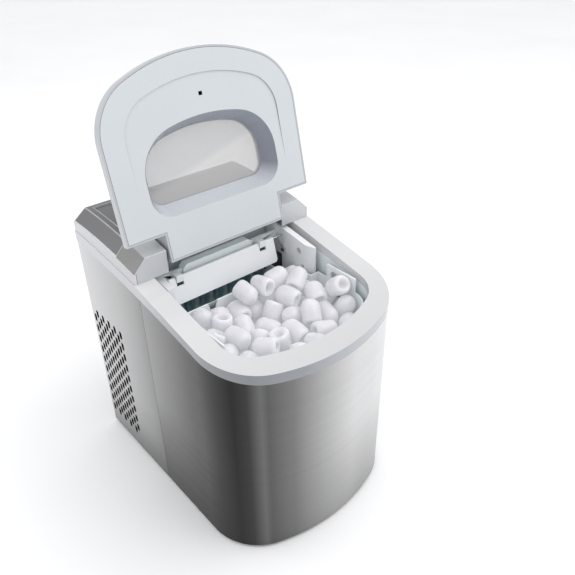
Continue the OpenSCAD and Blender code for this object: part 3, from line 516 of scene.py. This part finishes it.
for name, obj in nodes.items():
    obj.data.materials.clear()
    obj.data.materials.append(M[slot_of[name]].mat)
    if name in bevels:
        soften(obj, *bevels[name])


# ---------------------------------------------------------------- ice
# All in mm. The capsules that settle are a little fatter than the bullets drawn in their place.
ICE_COUNT = 108
CAPSULE_R = 11.5
CAPSULE_GAP = 7.5
BULLET_LEN = 28.5
BULLET_R = 11.3
BASKET_FLOOR = 171
BASKET_FRONT = -127.5
NARROW_FROM_Y = -38  # behind this the brackets leave less room
NARROW_HALF_W = 77.5
WIDE_HALF_W = 89.0
CORNER_FROM_X = 62
PER_ROW, PER_LAYER = 7, 28
FALL_STEPS, ALL_STEPS = 330, 420
SLOW = 0.17  # share of the fall that is left in the last steps


def keep_in_basket(ends):
    """Moves the capsules' end points back inside the basket's walls and floor."""
    side = np.where(ends[..., 1] > NARROW_FROM_Y, NARROW_HALF_W - CAPSULE_R, WIDE_HALF_W - CAPSULE_R)
    ends[..., 0] = np.clip(ends[..., 0], -side, side)
    front = BASKET_FRONT + CAPSULE_R + (ends[..., 0] / 90) ** 2 * 14
    front += np.maximum(np.abs(ends[..., 0]) - CORNER_FROM_X, 0) * 0.9
    ends[..., 1] = np.clip(ends[..., 1], front, 0.0 - CAPSULE_R)
    ends[..., 2] = np.maximum(ends[..., 2], BASKET_FLOOR + CAPSULE_R)


def settle_ice():
    """Drops capsules into the basket and lets them push apart: returns both end points of each."""
    rng = np.random.default_rng(7)
    mid = np.empty((ICE_COUNT, 3))
    for i in range(ICE_COUNT):
        layer, k = divmod(i, PER_LAYER)
        spot = ((k % PER_ROW - 3) * 23, -108 + (k // PER_ROW) * 28, 190 + layer * 27)
        mid[i] = np.array(spot) + rng.uniform((-5, -5, 0), (5, 5, 0.1))
    axis = rng.normal(size=(ICE_COUNT, 3))
    axis[:, 2] *= 0.5
    axis /= np.linalg.norm(axis, axis=1)[:, None]
    half = CAPSULE_GAP / 2
    ends = np.stack([mid - axis * half, mid + axis * half], 1)
    steps = (0.0, 0.5, 1.0)
    touch = 2 * CAPSULE_R
    for it in range(ALL_STEPS):
        ends += np.array((0.11, 0.12, -0.9)) * (1.0 if it < FALL_STEPS else SLOW)
        for _ in range(3):
            d = ends[:, 1] - ends[:, 0]
            length = np.linalg.norm(d, axis=1)[:, None]
            fix = d * (1 - CAPSULE_GAP / np.maximum(length, 1e-6)) / 2
            ends[:, 0] += fix
            ends[:, 1] -= fix
            pts = np.concatenate([ends[:, 0] * (1 - t) + ends[:, 1] * t for t in steps])
            diff = pts[:, None] - pts[None]
            dist = np.linalg.norm(diff, axis=2)
            own = np.arange(len(pts)) % ICE_COUNT
            close = (dist < touch) & (own[:, None] != own[None])
            push = np.where(close, (touch - dist) / np.maximum(dist, 1e-6) * 0.22, 0)[:, :, None] * diff
            move = push.sum(1)
            for j, t in enumerate(steps):
                part = move[j * ICE_COUNT:(j + 1) * ICE_COUNT]
                ends[:, 0] += part * (1 - t) * 0.8
                ends[:, 1] += part * t * 0.8
            keep_in_basket(ends)
    return ends


def bullet_profile(radius, rng):
    """Radius and height of each ring, from the bottom of the hollow to the rounded tip."""
    hollow = radius * rng.uniform(0.42, 0.55)
    depth = rng.uniform(6, 10)
    base = -BULLET_LEN / 2
    profile = [
        (0, base + depth),
        (hollow * 0.6, base + depth * 0.85),
        (hollow, base + depth * 0.3),
        (hollow * 1.15, base + 0.8),
        (radius * 0.72, base),
        (radius * 0.93, base + 1.2),
        (radius, base + 4),
        (radius * 1.01, -4),
        (radius * 0.99, 2),
    ]
    for a in (15, 32, 48, 64, 78):
        t = math.radians(a)
        profile.append((radius * math.cos(t), 4 + (BULLET_LEN / 2 - 4) * math.sin(t)))
    return profile + [(0, BULLET_LEN / 2)]


def bullet_mesh(bm, lo, hi, spin, radius, seed):
    """One thimble of ice: rounded at one end, with a small hollow at the other."""
    rng = np.random.default_rng(seed)
    profile = bullet_profile(radius, rng)
    axis = Vector(hi - lo).normalized()
    turn = axis.to_track_quat("Z", "Y").to_matrix() @ Matrix.Rotation(spin, 3, "Z")
    centre = Vector((lo + hi) / 2)
    phase = rng.uniform(0, 6.28, 4)
    ring_n = 20
    rings = []
    for rad, z in profile:
        if rad == 0:
            rings.append([bm.verts.new((centre + turn @ Vector((0, 0, z))) * MM)])
            continue
        ring = []
        for k in range(ring_n):
            a = 2 * math.pi * k / ring_n
            wobble = 1 + 0.035 * math.sin(2 * a + phase[0] + z * 0.1)
            wobble += 0.02 * math.sin(3 * a + phase[1])
            wobble += 0.02 * math.sin(z * 0.35 + phase[2])
            lift = 0.5 * math.sin(2 * a + phase[3])
            p = Vector((rad * wobble * math.cos(a), rad * wobble * math.sin(a), z + lift))
            ring.append(bm.verts.new((centre + turn @ p) * MM))
        rings.append(ring)
    for a, b in zip(rings, rings[1:]):
        for k in range(ring_n):
            n = (k + 1) % ring_n
            if len(a) == 1:
                bm.faces.new((a[0], b[n], b[k]))
            elif len(b) == 1:
                bm.faces.new((a[k], a[n], b[0]))
            else:
                bm.faces.new((a[k], a[n], b[n], b[k]))


def make_object(name, bm, slot, body):
    mesh = bpy.data.meshes.new(name)
    bm.normal_update()
    bm.to_mesh(mesh)
    bm.free()
    for poly in mesh.polygons:
        poly.use_smooth = True
    obj = bpy.data.objects.new(name, mesh)
    scene.collection.objects.link(obj)
    mesh.materials.append(M[slot].mat)
    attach(obj, body)
    return obj


bm = bmesh.new()
for i, (lo, hi) in enumerate(settle_ice()):
    bullet_mesh(bm, lo, hi, i * 1.7, BULLET_R + 0.5 * math.sin(i * 2.1), 100 + i)
ice = make_object("ice_pieces", bm, "ice", "basket")
sub = ice.modifiers.new("smooth", "SUBSURF")
sub.levels = 1
sub.render_levels = 1
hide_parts("ice_load")

# ---------------------------------------------------------------- stage
bpy.ops.mesh.primitive_plane_add(size=12)
floor = bpy.context.object
floor.name = "floor"
floor_mat = Nodes("floor")
floor_cloud = floor_mat.noise(floor_mat.coords, 3)
floor_mat.set(
    Base_Color=floor_mat.ramp(floor_cloud, [(0.3, grey(0.93)), (0.7, grey(0.96))]),
    Roughness=0.8,
)
floor.data.materials.append(floor_mat.mat)

world = bpy.data.worlds.new("world")
world.use_nodes = True
background = world.node_tree.nodes["Background"]
background.inputs["Color"].default_value = (0.98, 0.985, 1.0, 1)
background.inputs["Strength"].default_value = 0.97
scene.world = world


def area(name, size, power, place, aim):
    light = bpy.data.lights.new(name, "AREA")
    light.shape = "RECTANGLE"
    light.size, light.size_y = size
    light.energy = power
    obj = bpy.data.objects.new(name, light)
    scene.collection.objects.link(obj)
    obj.location = place
    obj.rotation_euler = (Vector(aim) - Vector(place)).to_track_quat("-Z", "Y").to_euler()


area("key", (1.6, 1.6), 15, (0.9, -0.7, 1.9), (0, 0, 0.25))
area("fill", (1.4, 1.4), 6, (-1.3, 0.9, 1.4), (0, 0, 0.2))
